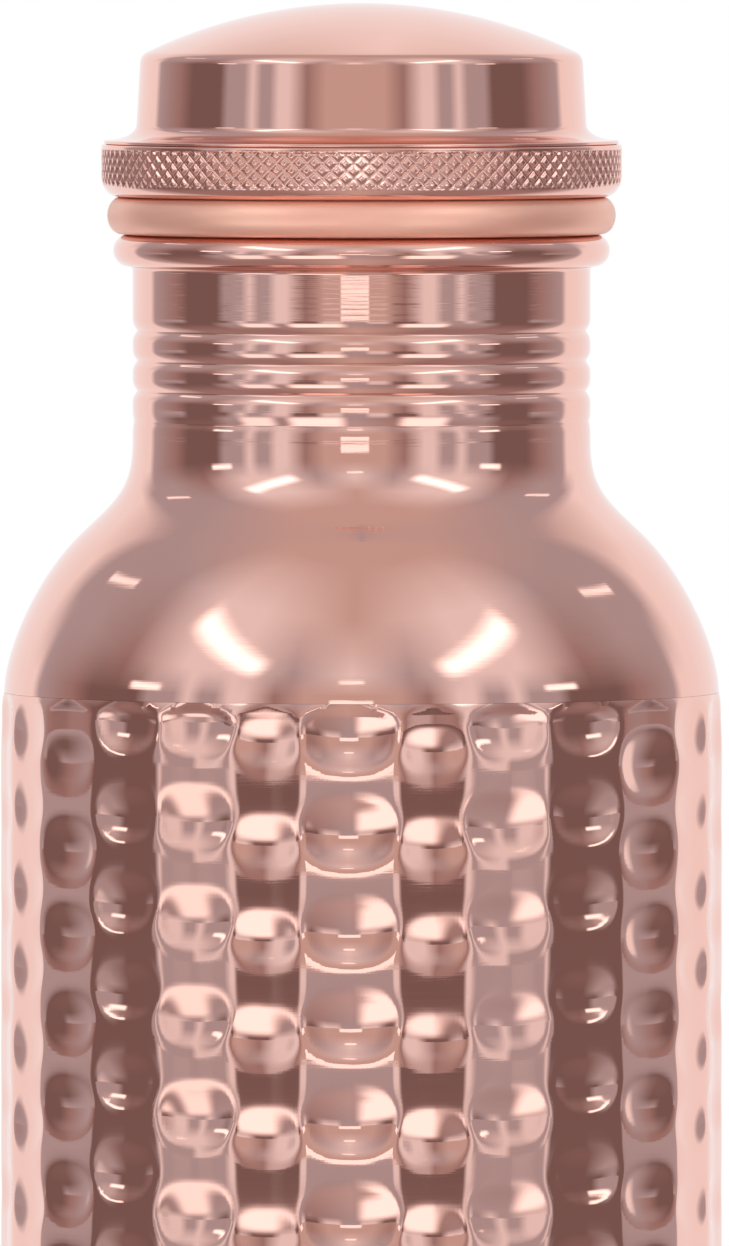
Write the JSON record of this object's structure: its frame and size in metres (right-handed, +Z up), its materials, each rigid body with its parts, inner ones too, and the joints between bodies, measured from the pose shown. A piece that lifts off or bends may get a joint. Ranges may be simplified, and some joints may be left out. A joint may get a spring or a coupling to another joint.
{
  "type": "copper water bottle",
  "caption": "Hammered copper water bottle with a smooth shoulder and neck, a soft seal, and a domed screw cap with a knurled grip ring.",
  "frame": {"origin": "centre of the foot ring, on the surface that the bottle stands on", "axes": "+Z up along the bottle's axis, from foot to cap; X and Y are alike, because the bottle is turned"},
  "size_m": [0.073, 0.073, 0.266],
  "materials": {
    "hammered_copper": "polished, hammered",
    "turned_copper": "polished, fine turning lines",
    "knurled_copper": "diamond knurled",
    "plain_copper": "satin",
    "silicone": "soft satin, translucent"
  },
  "bodies": {
    "bottle": {"barrel": "hammered_copper", "base_disc": "plain_copper", "shoulder_neck": "turned_copper", "mouth_ring": "turned_copper"},
    "seal": {"gasket": "silicone"},
    "cap": {"cap_dome": "turned_copper", "knurled_ring": "knurled_copper", "cap_plug": "plain_copper", "plug_floor": "plain_copper"}
  },
  "joints": [
    {"name": "cap_lift", "type": "slide", "parent": "bottle", "child": "seal", "axis": [0, 0, 1], "range_m": [0, 0.0244]},
    {"name": "cap_turn", "type": "hinge", "parent": "seal", "child": "cap", "pos_m": [0, 0, 0.246], "axis": [0, 0, 1], "range_deg": [0, 2880]}
  ],
  "couplings": [
    {"joint": "cap_lift", "follows": "cap_turn", "m_per_rad": 0.00048542}
  ]
}
